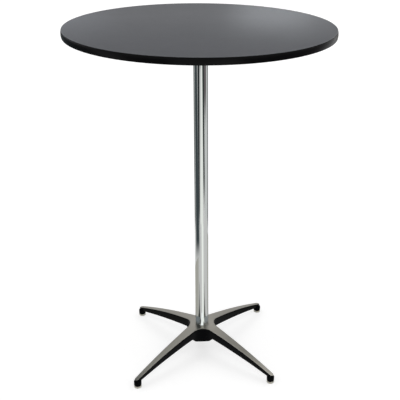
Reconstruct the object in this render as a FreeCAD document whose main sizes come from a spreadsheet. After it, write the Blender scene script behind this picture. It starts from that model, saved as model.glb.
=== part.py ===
import FreeCAD, Part
import math
import os
import Sketcher

# A round pub table: laminated disc top with a plastic edge, chromed tube column clamped by a tie rod,
# and a cast four-leg base on screw-in glides. Millimetres; origin on the floor under the column, +Z up.

DIMENSIONS = {
    "table_height": 1067,
    "board_radius": 381,
    "laminate_thick": 0.8,
    "core_thick": 17.6,
    "backer_thick": 0.6,
    # edge moulding: a T section, its barbed tang in a slot sawn round the board
    "moulding_thick": 1.6,
    "moulding_bevel": 1.2,
    "moulding_crown": 34,
    "moulding_seam_angle": 0.05,
    "slot_depth": 9.5,
    "slot_height": 2.4,
    "tang_length": 8.6,
    "tang_thick": 1.3,
    "barb_height": 1.1,
    "barb_length": 4.5,
    # cast mounting plate under the top
    "plate_reach": 150,
    "plate_thick": 6,
    "plate_arm_root": 15,
    "plate_arm_tip": 11,
    "plate_hub_radius": 34,
    "plate_rib_thick": 5,
    "plate_rib_depth": 20,
    "plate_rib_end": 98,
    "plate_rib_end_depth": 1,
    "plate_rib_gap": 2,
    "plate_draft": 3,
    "spigot_length": 18,
    "recess_radius": 13,
    "recess_depth": 13,
    "screw_inner": 113,
    "screw_outer": 136,
    "screw_radius": 2.1,
    "screw_clearance": 0.4,
    "screw_length": 13,
    "screw_point": 5,
    "screw_hole_depth": 14,
    "screw_head_radius": 4.4,
    "screw_head_top_radius": 2.8,
    "screw_head_height": 3,
    # column and the rod inside it
    "column_radius": 21.2,
    "column_wall": 1.5,
    "fit_gap": 0.1,
    "rod_radius": 5,
    "rod_hole_radius": 5.5,
    "rod_end_chamfer": 0.8,
    "rod_past_lower_nut": 4,
    "rod_past_upper_nut": 2,
    "nut_width": 17,
    "nut_height": 8,
    "nut_bevel_angle": 30,
    "washer_radius": 10,
    "washer_thick": 2,
    # base casting
    "hub_height": 94,
    "hub_flat_radius": 28,
    "hub_crown_radius": 165,
    "hub_crown_angle": 9.5,
    "hub_web_reach": 31,
    "hub_bottom": 33.4,
    "hub_dome_reach": 45,
    "hub_dome_edge": 44.5,
    "hub_bevel_reach": 57.5,
    "leg_crown_radius": 1490,
    "leg_crown_end_angle": 20.5,
    "leg_draft": 6.5,
    "leg_half_width_centre": 19.5,
    "leg_half_width_root": 16.8,
    "leg_straight_reach": 60,
    "leg_waist_radius": 4200,
    "leg_neck_angle": 1,
    "leg_nose_reach": 294.3,
    "leg_nose_radius": 13.9,
    "leg_fork_fillet": 38,
    "leg_under_at_hub": 59.2,
    "leg_under_at_tip": 13.6,
    "leg_under_reach": 310,
    "leg_under_radius": 2630,
    "hub_spigot_height": 14,
    "hub_spigot_bevel": 1,
    "counterbore_radius": 14,
    "counterbore_top": 50,
    "skin_thick": 6.5,
    "hollow_draft": 1.5,
    "hollow_hub_radius": 30,
    "hollow_boss_radius": 22,
    "hollow_tip_top": 42,
    "channel_root_half_width": 8.4,
    "channel_end_half_width": 3.6,
    "channel_reach": 196,
    "web_radius": 114,
    "web_thick": 4,
    "web_bottom": 56,
    # levelling glides
    "glide_circle_radius": 291.3,
    "tip_boss_radius": 11.8,
    "tip_boss_foot_radius": 10.6,
    "tip_boss_bottom": 6.6,
    "tip_boss_taper": 3.4,
    "tip_boss_shoulder": 22,
    "tip_boss_crown_radius": 6,
    "stud_radius": 4,
    "stud_clearance": 0.05,
    "stud_top": 25,
    "stud_hole_top": 26,
    "pad_radius": 11.6,
    "pad_bevel": 1.2,
    "pad_gap": 0.3,
    "button_radius": 5.8,
    "button_bottom": 2,
}

ARMS = 4
DIAGONAL = 45

doc = FreeCAD.newDocument("pub_table")


class Size:
    """A length or an angle with the spreadsheet formula that it comes from."""

    def __init__(self, value, formula):
        self.value = float(value)
        self.formula = formula

    def __add__(self, other):
        other = as_size(other)
        return Size(self.value + other.value, f"({self.formula} + {other.formula})")

    def __sub__(self, other):
        other = as_size(other)
        return Size(self.value - other.value, f"({self.formula} - {other.formula})")

    def __mul__(self, other):
        other = as_size(other)
        return Size(self.value * other.value, f"({self.formula} * {other.formula})")

    def __truediv__(self, other):
        other = as_size(other)
        return Size(self.value / other.value, f"({self.formula} / {other.formula})")

    def __neg__(self):
        return as_size(0) - self

    def __radd__(self, other):
        return as_size(other) + self

    def __rsub__(self, other):
        return as_size(other) - self

    def __rmul__(self, other):
        return as_size(other) * self


def as_size(number):
    return number if isinstance(number, Size) else Size(number, f"({number})")


def sine(angle):
    return Size(math.sin(math.radians(angle.value)), f"sin({angle.formula})")


def cosine(angle):
    return Size(math.cos(math.radians(angle.value)), f"cos({angle.formula})")


def write_sheet():
    """Puts every driving dimension in the spreadsheet and returns them as sizes."""
    sheet = doc.addObject("Spreadsheet::Sheet", "dims")
    sizes = {}
    for row, (name, value) in enumerate(DIMENSIONS.items(), start=1):
        sheet.set(f"A{row}", name)
        sheet.set(f"B{row}", str(value))
        sheet.setAlias(f"B{row}", name)
        sizes[name] = Size(value, f"dims.{name}")
    doc.recompute()
    return sizes


size = write_sheet()
top_thick = size["laminate_thick"] + size["core_thick"] + size["backer_thick"]
top_underside = size["table_height"] - top_thick
column_bore = size["column_radius"] - size["column_wall"]
spigot_radius = column_bore - size["fit_gap"]


# Sketches, features and placements


def bind(item, path, length):
    item.setExpression(path, as_size(length).formula)


def new_body(label):
    body = doc.addObject("PartDesign::Body", label)
    body.Label = label
    return body


def origin_feature(body, role):
    return next(f for f in body.Origin.OriginFeatures if f.Role == role)


def new_sketch(body, name, plane, height=0):
    sketch = body.newObject("Sketcher::SketchObject", name)
    sketch.AttachmentSupport = (origin_feature(body, plane), [""])
    sketch.MapMode = "FlatFace"
    bind(sketch, "AttachmentOffset.Base.z", height)
    return sketch


def dimension(sketch, kind, places, length):
    length = as_size(length)
    index = sketch.addConstraint(Sketcher.Constraint(kind, *places, length.value))
    sketch.renameConstraint(index, f"size_{index}")
    bind(sketch, f"Constraints.size_{index}", length)


def place_point(sketch, edge, end, x, y):
    """Fixes one end of an edge at x, y from the sketch's origin."""
    for kind, axis, distance in (("DistanceX", -2, x), ("DistanceY", -1, y)):
        if as_size(distance).value == 0:
            sketch.addConstraint(Sketcher.Constraint("PointOnObject", edge, end, axis))
        else:
            dimension(sketch, kind, (-1, 1, edge, end), distance)


def arc_between(start, end, radius):
    """The short arc from start to end; a positive radius turns left, a negative one right."""
    chord = end - start
    left = FreeCAD.Vector(-chord.y, chord.x, 0).normalize()
    rise = math.sqrt(max(radius**2 - chord.Length**2 / 4, 0))
    centre = start + chord * 0.5 + left * math.copysign(rise, radius)
    first, last = (start, end) if radius > 0 else (end, start)
    angles = [math.atan2(p.y - centre.y, p.x - centre.x) for p in (first, last)]
    circle = Part.Circle(centre, FreeCAD.Vector(0, 0, 1), abs(radius))
    return Part.ArcOfCircle(circle, angles[0], angles[1])


def draw_outline(sketch, corners):
    """A closed outline. Each corner is (x, y), or (x, y, radius) where an arc leads on to the next one."""
    points = [FreeCAD.Vector(as_size(c[0]).value, as_size(c[1]).value, 0) for c in corners]
    edges = []
    for index, corner in enumerate(corners):
        start, end = points[index], points[(index + 1) % len(corners)]
        if len(corner) == 2:
            number = sketch.addGeometry(Part.LineSegment(start, end))
            edges.append((number, 1, 2))
            continue
        radius = as_size(corner[2])
        number = sketch.addGeometry(arc_between(start, end, radius.value))
        edges.append((number, 1, 2) if radius.value > 0 else (number, 2, 1))
    for index, corner in enumerate(corners):
        number, first, last = edges[index]
        following = edges[(index + 1) % len(corners)]
        joint = (number, last, following[0], following[1])
        sketch.addConstraint(Sketcher.Constraint("Coincident", *joint))
        place_point(sketch, number, first, corner[0], corner[1])
        if len(corner) == 3:
            radius = as_size(corner[2])
            dimension(sketch, "Radius", (number,), radius if radius.value > 0 else -radius)


def draw_circle(sketch, radius, x=0, y=0):
    centre = FreeCAD.Vector(as_size(x).value, as_size(y).value, 0)
    up = FreeCAD.Vector(0, 0, 1)
    number = sketch.addGeometry(Part.Circle(centre, up, as_size(radius).value))
    place_point(sketch, number, 3, x, y)
    dimension(sketch, "Radius", (number,), radius)


def draw_axis(sketch, x, low, high):
    """An upright construction line, which a revolution can turn about as Axis0."""
    start, end = [FreeCAD.Vector(as_size(x).value, as_size(y).value, 0) for y in (low, high)]
    number = sketch.addGeometry(Part.LineSegment(start, end), True)
    place_point(sketch, number, 1, x, low)
    place_point(sketch, number, 2, x, high)


def extrude(body, sketch, length, kind="Pad", backwards=False, middle=False, taper=0):
    """A pad or pocket. A pad goes along the sketch's normal, and a pocket against it."""
    feature = body.newObject(f"PartDesign::{kind}", f"{sketch.Name}_{kind.lower()}")
    feature.Profile = sketch
    feature.Reversed = backwards
    if middle:
        feature.SideType = "Symmetric"
    bind(feature, "Length", length)
    if as_size(taper).value != 0:
        bind(feature, "TaperAngle", taper)
    return feature


def revolve(body, sketch, kind="Revolution", axis="V_Axis", angle=360):
    feature = body.newObject(f"PartDesign::{kind}", f"{sketch.Name}_{kind.lower()}")
    feature.Profile = sketch
    feature.ReferenceAxis = (sketch, [axis])
    bind(feature, "Angle", angle)
    return feature


def repeat_round(body, *features, turn=360, copies=ARMS):
    """Copies about the body's upright axis: all round, or over the turn given."""
    pattern = body.newObject("PartDesign::PolarPattern", f"{features[0].Name}_pattern")
    pattern.Originals = list(features)
    pattern.Axis = (origin_feature(body, "Z_Axis"), [""])
    pattern.Angle = turn
    pattern.Occurrences = copies
    body.Tip = pattern
    return pattern


def repeat_along(body, axis, distance, *features):
    """One copy more, that distance along one of the body's axes."""
    pattern = body.newObject("PartDesign::LinearPattern", f"{features[0].Name}_row")
    pattern.Originals = list(features)
    pattern.Direction = (origin_feature(body, axis), [""])
    bind(pattern, "Length", distance)
    pattern.Occurrences = 2
    body.Tip = pattern
    return pattern


def cross(body, feature):
    """A bar through the middle, and the same again at a right angle."""
    return repeat_round(body, feature, turn=90, copies=2)


def both_ends(corners):
    """The outline of a bar through the origin from the half of it that lies towards +X."""
    return corners + [(-corner[0], -corner[1], *corner[2:]) for corner in corners]


def round_edges(body, base, chosen, radius):
    """A fillet on the edges of base that chosen(edge) picks."""
    doc.recompute()
    names = [f"Edge{i}" for i, edge in enumerate(base.Shape.Edges, start=1) if chosen(edge)]
    fillet = body.newObject("PartDesign::Fillet", f"{base.Name}_fillet")
    fillet.Base = (base, names)
    bind(fillet, "Radius", radius)
    return fillet


def place(item, height, turn=0, x=0, y=0):
    turned = FreeCAD.Rotation(FreeCAD.Vector(0, 0, 1), turn)
    item.Placement = FreeCAD.Placement(FreeCAD.Vector(0, 0, 0), turned)
    for direction, distance in (("x", x), ("y", y), ("z", height)):
        bind(item, f"Placement.Base.{direction}", distance)


parts = []


def finished(item, height=0, turn=0, x=0, y=0):
    place(item, height, turn, x, y)
    parts.append(item)
    return item


# The top: laminate, board, backer and edge moulding


def disc(label, radius, thick):
    item = doc.addObject("Part::Cylinder", label)
    item.Label = label
    bind(item, "Radius", radius)
    bind(item, "Height", thick)
    return item


def screw_holes(body, radius, height, depth, backwards):
    """Two holes on each of the four arms of the mounting plate."""
    sketch = new_sketch(body, "screw_holes", "XY_Plane", height)
    for reach in (size["screw_inner"], size["screw_outer"]):
        draw_circle(sketch, radius, reach)
    pocket = extrude(body, sketch, depth, "Pocket", backwards)
    return repeat_round(body, pocket)


def make_top_laminate():
    laminate = disc("top_laminate", size["board_radius"], size["laminate_thick"])
    finished(laminate, size["table_height"] - size["laminate_thick"])


def make_top_core():
    body = new_body("top_core")
    edge = size["board_radius"]
    slot_end = edge - size["slot_depth"]
    low = (size["core_thick"] - size["slot_height"]) / 2
    high = low + size["slot_height"]
    section = new_sketch(body, "board_section", "XZ_Plane")
    draw_outline(
        section,
        [
            (0, 0),
            (edge, 0),
            (edge, low),
            (slot_end, low),
            (slot_end, high),
            (edge, high),
            (edge, size["core_thick"]),
            (0, size["core_thick"]),
        ],
    )
    revolve(body, section)
    drill = size["screw_radius"] + size["fit_gap"]
    screw_holes(body, drill, 0, size["screw_hole_depth"], backwards=True)
    finished(body, top_underside + size["backer_thick"], DIAGONAL)


def make_top_backer():
    body = new_body("top_backer")
    sheet = new_sketch(body, "backer_sheet", "XY_Plane")
    draw_circle(sheet, size["board_radius"])
    extrude(body, sheet, size["backer_thick"])
    screw_holes(body, size["screw_radius"] + size["fit_gap"], 0, size["backer_thick"], backwards=True)
    finished(body, top_underside, DIAGONAL)


def make_edge_moulding():
    """A crowned face with bevelled edges, and a tang with one barb on each side, in one section."""
    body = new_body("edge_moulding")
    inner = size["board_radius"]
    outer = inner + size["moulding_thick"]
    bevel = size["moulding_bevel"]
    tang_half, barb_half = size["tang_thick"] / 2, size["barb_height"]
    middle = size["backer_thick"] + size["core_thick"] / 2
    tip = inner - size["tang_length"]
    barb = tip + size["barb_length"]
    section = new_sketch(body, "moulding_section", "XZ_Plane")
    draw_outline(
        section,
        [
            (inner, 0),
            (outer - bevel, 0),
            (outer, bevel, size["moulding_crown"]),
            (outer, top_thick - bevel),
            (outer - bevel, top_thick),
            (inner, top_thick),
            (inner, middle + tang_half),
            (barb, middle + tang_half),
            (barb, middle + barb_half),
            (tip, middle),
            (barb, middle - barb_half),
            (barb, middle - tang_half),
            (inner, middle - tang_half),
        ],
    )
    revolve(body, section, angle=360 - size["moulding_seam_angle"])
    finished(body, top_underside, 90)


# The mounting plate and its screws


def make_top_plate():
    body = new_body("top_plate")
    reach, root, tip = size["plate_reach"], size["plate_arm_root"], size["plate_arm_tip"]
    thick = size["plate_thick"]
    arms = new_sketch(body, "plate_arms", "XY_Plane")
    end = [(0, -root), (reach - tip, -tip, tip), (reach, 0, tip), (reach - tip, tip)]
    draw_outline(arms, both_ends(end))
    cross(body, extrude(body, arms, thick, backwards=True, taper=-size["plate_draft"]))
    rib = new_sketch(body, "plate_rib", "XZ_Plane")
    rib_start = size["column_radius"] + size["plate_rib_gap"]
    draw_outline(
        rib,
        [
            (rib_start, -thick / 2),
            (rib_start, -size["plate_rib_depth"]),
            (size["plate_hub_radius"], -size["plate_rib_depth"]),
            (size["plate_rib_end"], -thick - size["plate_rib_end_depth"]),
            (size["plate_rib_end"], -thick / 2),
        ],
    )
    rib_pad = extrude(body, rib, size["plate_rib_thick"], middle=True)
    repeat_round(body, rib_pad)
    hub = new_sketch(body, "plate_hub", "XY_Plane")
    draw_circle(hub, size["plate_hub_radius"])
    extrude(body, hub, thick, backwards=True, taper=-size["plate_draft"])
    spigot = new_sketch(body, "plate_spigot", "XY_Plane", -thick / 2)
    draw_circle(spigot, spigot_radius)
    extrude(body, spigot, size["spigot_length"] + thick / 2, backwards=True)
    bore = new_sketch(body, "plate_bore", "XZ_Plane")
    draw_outline(
        bore,
        [
            (0, 0),
            (size["recess_radius"], 0),
            (size["recess_radius"], -size["recess_depth"]),
            (size["rod_hole_radius"], -size["recess_depth"]),
            (size["rod_hole_radius"], -thick - size["spigot_length"]),
            (0, -thick - size["spigot_length"]),
        ],
    )
    revolve(body, bore, "Groove")
    screw_holes(body, size["screw_radius"] + size["screw_clearance"], 0, thick, backwards=False)
    finished(body, top_underside, DIAGONAL)


def make_plate_screws():
    """Eight pan-head wood screws, up through the plate into the board."""
    body = new_body("plate_screws")
    body.AllowCompound = True
    shank, head = size["screw_radius"], size["screw_head_radius"]
    seat = -size["plate_thick"]
    low = seat - size["screw_head_height"]
    tip = size["backer_thick"] + size["screw_length"]
    rows = []
    for row, reach in (("inner", size["screw_inner"]), ("outer", size["screw_outer"])):
        section = new_sketch(body, f"{row}_screw", "XZ_Plane")
        draw_outline(
            section,
            [
                (reach, low),
                (reach + size["screw_head_top_radius"], low),
                (reach + head, seat),
                (reach + shank, seat),
                (reach + shank, tip - size["screw_point"]),
                (reach, tip),
            ],
        )
        draw_axis(section, reach, low, tip)
        rows.append(revolve(body, section, axis="Axis0"))
    repeat_round(body, *rows)
    finished(body, top_underside, DIAGONAL)


# The column, its tie rod, nuts and washers


def make_column_tube():
    body = new_body("column_tube")
    ring = new_sketch(body, "tube_ring", "XY_Plane")
    draw_circle(ring, size["column_radius"])
    draw_circle(ring, column_bore)
    extrude(body, ring, top_underside - size["plate_thick"] - size["hub_height"])
    finished(body, size["hub_height"])


lower_washer_height = size["counterbore_top"] - size["washer_thick"]
lower_nut_height = lower_washer_height - size["nut_height"]
upper_washer_height = top_underside - size["recess_depth"]
upper_nut_height = upper_washer_height + size["washer_thick"]


def make_tie_rod():
    body = new_body("tie_rod")
    low = lower_nut_height - size["rod_past_lower_nut"]
    length = upper_nut_height + size["nut_height"] + size["rod_past_upper_nut"] - low
    radius, bevel = size["rod_radius"], size["rod_end_chamfer"]
    section = new_sketch(body, "rod_section", "XZ_Plane")
    draw_outline(
        section,
        [
            (0, 0),
            (radius - bevel, 0),
            (radius, bevel),
            (radius, length - bevel),
            (radius - bevel, length),
            (0, length),
        ],
    )
    revolve(body, section)
    finished(body, low)


def make_rod_washers():
    """A washer under each nut."""
    body = new_body("rod_washers")
    body.AllowCompound = True
    ring = new_sketch(body, "washer_ring", "XY_Plane")
    draw_circle(ring, size["washer_radius"])
    draw_circle(ring, size["rod_hole_radius"])
    washer = extrude(body, ring, size["washer_thick"])
    repeat_along(body, "Z_Axis", upper_washer_height - lower_washer_height, washer)
    finished(body, lower_washer_height)


def make_rod_nuts():
    """Two hexagon nuts, their corners turned off to a cone on both faces."""
    body = new_body("rod_nuts")
    body.AllowCompound = True
    half, thick = size["nut_width"] / 2, size["nut_height"]
    corner_reach = half * (2 / math.sqrt(3))
    side = half / math.sqrt(3)
    hexagon = new_sketch(body, "nut_hexagon", "XY_Plane")
    draw_outline(
        hexagon,
        [
            (corner_reach, 0),
            (side, half),
            (-side, half),
            (-corner_reach, 0),
            (-side, -half),
            (side, -half),
        ],
    )
    draw_circle(hexagon, size["rod_radius"] + size["stud_clearance"])
    prism = extrude(body, hexagon, thick)
    turned = new_sketch(body, "nut_turning", "XZ_Plane")
    beyond = corner_reach + half / 8
    angle = size["nut_bevel_angle"]
    drop = (beyond - half) * sine(angle) / cosine(angle)
    draw_outline(turned, [(half, 0), (beyond, 0), (beyond, drop)])
    draw_outline(turned, [(half, thick), (beyond, thick - drop), (beyond, thick)])
    turning = revolve(body, turned, "Groove")
    repeat_along(body, "Z_Axis", upper_nut_height - lower_nut_height, prism, turning)
    finished(body, lower_nut_height)


# The base casting


def cut_crown(body):
    """Cuts off all above the legs' tops: flat at the hub, then a rounded shoulder and a long arc."""
    flat, height = size["hub_flat_radius"], size["hub_height"]
    shoulder, angle = size["hub_crown_radius"], size["hub_crown_angle"]
    long_arc, end_angle = size["leg_crown_radius"], size["leg_crown_end_angle"]
    x1 = flat + shoulder * sine(angle)
    z1 = height - shoulder * (1 - cosine(angle))
    x2 = x1 + long_arc * (sine(end_angle) - sine(angle))
    z2 = z1 - long_arc * (cosine(angle) - cosine(end_angle))
    above = new_sketch(body, "casting_top", "XZ_Plane")
    draw_outline(
        above,
        [
            (flat, height, -shoulder),
            (x1, z1, -long_arc),
            (x2, z2),
            (x2, height * 2),
            (flat, height * 2),
        ],
    )
    pocket = extrude(body, above, size["hub_web_reach"] * 2, "Pocket", middle=True)
    repeat_round(body, pocket)


def turn_off_underside(body):
    """Takes off all below the casting: a bevelled dome under the hub, then an arch along the legs."""
    bottom, reach = size["hub_bottom"], size["hub_dome_reach"]
    rise = size["hub_dome_edge"] - bottom
    dome = (reach * reach + rise * rise) / (rise * 2)
    end = size["leg_under_reach"]
    beyond = end + size["leg_nose_radius"]
    below = new_sketch(body, "casting_underside", "XZ_Plane")
    draw_outline(
        below,
        [
            (0, -bottom),
            (beyond, -bottom),
            (beyond, size["leg_under_at_tip"]),
            (end, size["leg_under_at_tip"], size["leg_under_radius"]),
            (size["hub_bevel_reach"], size["leg_under_at_hub"]),
            (reach, size["hub_dome_edge"], -dome),
            (0, bottom),
        ],
    )
    revolve(body, below, "Groove")


def is_fork_edge(edge):
    """The steep edge where two legs' sides meet, on a line halfway between the legs."""
    ends = [v.Point for v in edge.Vertexes]
    if len(ends) < 2 or abs(ends[0].z - ends[1].z) < 10:
        return False
    return all(abs(abs(p.x) - abs(p.y)) < 0.01 and abs(p.x) > 5 for p in ends)


def leg_plan_outline(sketch):
    """Two opposite legs: narrowing towards a slight waist, then a round nose over the glide."""
    reach, nose = size["leg_nose_reach"], size["leg_nose_radius"]
    waist, neck = size["leg_waist_radius"], size["leg_neck_angle"]
    neck_x, neck_y = reach - nose * sine(neck), nose * cosine(neck)
    end = [
        (0, -size["leg_half_width_centre"]),
        (size["leg_straight_reach"], -size["leg_half_width_root"], -waist),
        (neck_x, -neck_y, nose),
        (reach + nose, 0, nose),
        (neck_x, neck_y, -waist),
        (size["leg_straight_reach"], size["leg_half_width_root"]),
    ]
    draw_outline(sketch, both_ends(end))


def add_tip_bosses(body):
    """A boss round each glide: a short taper, a straight barrel and a sloping shoulder under the leg."""
    tip, radius = size["glide_circle_radius"], size["tip_boss_radius"]
    foot, bottom = size["tip_boss_foot_radius"], size["tip_boss_bottom"]
    shoulder, crown = size["tip_boss_shoulder"], size["tip_boss_crown_radius"]
    top = shoulder + radius - crown
    section = new_sketch(body, "tip_boss", "XZ_Plane")
    draw_outline(
        section,
        [
            (tip, bottom),
            (tip + foot, bottom),
            (tip + radius, bottom + size["tip_boss_taper"]),
            (tip + radius, shoulder),
            (tip + crown, top),
            (tip, top),
        ],
    )
    draw_axis(section, tip, bottom, top)
    return repeat_round(body, revolve(body, section, axis="Axis0"))


def add_spigot(body):
    """The ring on the hub that centres the tube, bevelled at its upper edge."""
    base = size["hub_height"] - size["skin_thick"]
    top = size["hub_height"] + size["hub_spigot_height"]
    bevel = size["hub_spigot_bevel"]
    section = new_sketch(body, "hub_spigot", "XZ_Plane")
    draw_outline(
        section,
        [
            (0, base),
            (spigot_radius, base),
            (spigot_radius, top - bevel),
            (spigot_radius - bevel, top),
            (0, top),
        ],
    )
    return revolve(body, section)


def bore_hub(body):
    """A clearance hole for the rod, with a counterbore for its lower nut and washer."""
    hole, wide = size["rod_hole_radius"], size["counterbore_radius"]
    top = size["hub_height"] + size["hub_spigot_height"]
    section = new_sketch(body, "hub_bore", "XZ_Plane")
    draw_outline(
        section,
        [
            (0, 0),
            (wide, 0),
            (wide, size["counterbore_top"]),
            (hole, size["counterbore_top"]),
            (hole, top * 2),
            (0, top * 2),
        ],
    )
    return revolve(body, section, "Groove")


def make_base_outside():
    """Hub, legs and bosses as one solid, before it is hollowed."""
    body = new_body("base_outside")
    plan = new_sketch(body, "leg_plan", "XY_Plane", size["hub_height"])
    leg_plan_outline(plan)
    bar = extrude(body, plan, size["hub_height"], backwards=True, taper=-size["leg_draft"])
    round_edges(body, cross(body, bar), is_fork_edge, size["leg_fork_fillet"])
    turn_off_underside(body)
    add_tip_bosses(body)
    cut_crown(body)
    add_spigot(body)
    bore_hub(body)
    tap = new_sketch(body, "glide_hole", "XY_Plane")
    draw_circle(tap, size["stud_radius"] + size["stud_clearance"], size["glide_circle_radius"])
    repeat_round(body, extrude(body, tap, size["stud_hole_top"], "Pocket", backwards=True))
    return body


def make_base_hollow():
    """What is cored out from below: a ring round the rod's boss and a narrowing channel in each leg."""
    body = new_body("base_hollow")
    reach, wide, narrow = (
        size["channel_reach"],
        size["channel_root_half_width"],
        size["channel_end_half_width"],
    )
    channel = new_sketch(body, "channels", "XY_Plane")
    end = [(0, -wide), (reach, -narrow, narrow), (reach + narrow, 0, narrow), (reach, narrow)]
    draw_outline(channel, both_ends(end))
    deep = size["hub_height"]
    cross(body, extrude(body, channel, deep, taper=-size["hollow_draft"]))
    ring = new_sketch(body, "hub_ring", "XY_Plane")
    draw_circle(ring, size["hollow_hub_radius"])
    extrude(body, ring, deep, taper=-size["hollow_draft"])
    roof = new_sketch(body, "hollow_roof", "XZ_Plane")
    hub_roof = size["hub_height"] - size["skin_thick"]
    draw_outline(
        roof,
        [
            (0, hub_roof),
            (size["hollow_hub_radius"], hub_roof),
            (reach + narrow, size["hollow_tip_top"]),
            (reach + narrow, deep * 2),
            (0, deep * 2),
        ],
    )
    revolve(body, roof, "Groove")
    keep = new_sketch(body, "kept_metal", "XZ_Plane")
    boss, web = size["hollow_boss_radius"], size["web_radius"]
    draw_outline(keep, [(0, 0), (boss, 0), (boss, deep), (0, deep)])
    half = size["web_thick"] / 2
    draw_outline(
        keep,
        [
            (web - half, size["web_bottom"]),
            (web + half, size["web_bottom"]),
            (web + half, deep),
            (web - half, deep),
        ],
    )
    revolve(body, keep, "Groove")
    return body


def make_base_casting():
    outside, hollow = make_base_outside(), make_base_hollow()
    casting = doc.addObject("Part::Cut", "base_casting")
    casting.Label = "base_casting"
    casting.Base = outside
    casting.Tool = hollow
    finished(casting, 0, DIAGONAL)


# The levelling glides


pad_top = size["tip_boss_bottom"] - size["pad_gap"]


def make_glide_stud(number, x, y):
    """A threaded steel stud on a round button, which sits in the plastic pad and is flush with it."""
    body = new_body(f"glide_stud_{number}")
    section = new_sketch(body, f"stud_section_{number}", "XZ_Plane")
    draw_outline(
        section,
        [
            (0, size["button_bottom"]),
            (size["button_radius"], size["button_bottom"]),
            (size["button_radius"], pad_top),
            (size["stud_radius"], pad_top),
            (size["stud_radius"], size["stud_top"]),
            (0, size["stud_top"]),
        ],
    )
    revolve(body, section)
    finished(body, 0, 0, x, y)


def make_glide_pad(number, x, y):
    """A round plastic pad with a bevelled foot and a socket for the button."""
    body = new_body(f"glide_pad_{number}")
    radius, bevel = size["pad_radius"], size["pad_bevel"]
    socket = size["button_radius"] + size["fit_gap"]
    floor = size["button_bottom"] - size["fit_gap"]
    section = new_sketch(body, f"pad_section_{number}", "XZ_Plane")
    draw_outline(
        section,
        [
            (0, 0),
            (radius - bevel, 0),
            (radius, bevel),
            (radius, pad_top),
            (socket, pad_top),
            (socket, floor),
            (0, floor),
        ],
    )
    revolve(body, section)
    finished(body, 0, 0, x, y)


def make_glides():
    """Numbered from the front right, anticlockwise seen from above."""
    reach = size["glide_circle_radius"] / math.sqrt(2)
    for number, (right, back) in enumerate([(1, -1), (1, 1), (-1, 1), (-1, -1)], start=1):
        make_glide_stud(number, reach * right, reach * back)
        make_glide_pad(number, reach * right, reach * back)


def main():
    make_top_laminate()
    make_top_core()
    make_top_backer()
    make_edge_moulding()
    make_top_plate()
    make_plate_screws()
    make_column_tube()
    make_tie_rod()
    make_rod_washers()
    make_rod_nuts()
    make_base_casting()
    make_glides()
    doc.recompute()
    check_document()
    write_parts()


def check_document():
    """Stops if any object failed to build or any sub-part isn't a valid shape."""
    for item in doc.Objects:
        if "Invalid" in item.State or "Error" in item.State:
            raise RuntimeError(f"{item.Name} did not build: {item.State}")
    for item in parts:
        if item.Shape.isNull() or not item.Shape.isValid():
            raise RuntimeError(f"{item.Label} has no valid shape")


def write_parts():
    os.makedirs("parts", exist_ok=True)
    for item in parts:
        item.Shape.exportStep(f"parts/{item.Label}.step")
        print(f"{item.Label}: {item.Shape.Volume / 1000:.1f} cm3")


if __name__ == "__main__":
    main()
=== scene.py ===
import math

import bpy
from mathutils import Matrix, Vector


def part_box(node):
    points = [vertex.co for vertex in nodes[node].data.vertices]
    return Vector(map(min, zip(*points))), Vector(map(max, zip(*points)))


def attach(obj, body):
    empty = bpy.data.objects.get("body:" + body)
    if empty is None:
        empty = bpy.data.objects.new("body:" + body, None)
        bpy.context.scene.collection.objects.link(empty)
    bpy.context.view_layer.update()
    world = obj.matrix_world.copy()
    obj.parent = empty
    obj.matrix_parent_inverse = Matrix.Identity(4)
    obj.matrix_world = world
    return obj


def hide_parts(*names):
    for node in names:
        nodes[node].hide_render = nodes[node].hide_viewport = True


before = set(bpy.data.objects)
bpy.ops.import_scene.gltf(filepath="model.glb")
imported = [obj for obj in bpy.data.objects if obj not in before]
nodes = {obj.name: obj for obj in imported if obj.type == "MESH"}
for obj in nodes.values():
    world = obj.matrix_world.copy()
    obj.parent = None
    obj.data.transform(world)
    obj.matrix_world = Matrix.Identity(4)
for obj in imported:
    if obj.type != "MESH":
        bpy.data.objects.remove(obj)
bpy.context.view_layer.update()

mm = 0.001  # the dictionaries below are in millimetres, the scene is in metres
fullTurn = math.radians(360)
level = 1e-6  # metres; heights and places this close count as equal
sameSpot = 0.002  # points nearer than this, in millimetres, are one
sharp = 35  # degrees; a softer edge than this is shaded smooth


def leaveEditMode():
    if bpy.context.object and bpy.context.object.mode != "OBJECT":
        bpy.ops.object.mode_set(mode="OBJECT")


def startFresh():
    leaveEditMode()
    bpy.ops.object.select_all(action="DESELECT")


def pickOnly(piece):
    startFresh()
    piece.select_set(True)
    bpy.context.view_layer.objects.active = piece


def newest(name):
    piece = bpy.context.object
    piece.name = name
    piece.data.name = name
    return piece


def choose(piece, kind, wanted):
    # selects the faces, edges or vertices for which wanted() is true, then stays in edit mode
    pickOnly(piece)
    bpy.ops.object.mode_set(mode="EDIT")
    bpy.ops.mesh.select_mode(type=kind)
    bpy.ops.mesh.select_all(action="DESELECT")
    bpy.ops.object.mode_set(mode="OBJECT")
    mesh = piece.data
    group = {"FACE": mesh.polygons, "EDGE": mesh.edges, "VERT": mesh.vertices}[kind]
    for part in group:
        part.select = wanted(part)
    bpy.ops.object.mode_set(mode="EDIT")


def cutAway(piece, kind, wanted):
    choose(piece, kind, wanted)
    bpy.ops.mesh.delete(type=kind)
    leaveEditMode()


def chooseOpenEdges(piece):
    choose(piece, "EDGE", lambda edge: False)
    bpy.ops.mesh.select_non_manifold()


def editAll(piece):
    pickOnly(piece)
    bpy.ops.object.mode_set(mode="EDIT")
    bpy.ops.mesh.select_all(action="SELECT")


def mergeAndFaceOut(piece, near=sameSpot):
    editAll(piece)
    bpy.ops.mesh.remove_doubles(threshold=near * mm)
    bpy.ops.mesh.normals_make_consistent(inside=False)
    leaveEditMode()


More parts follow.
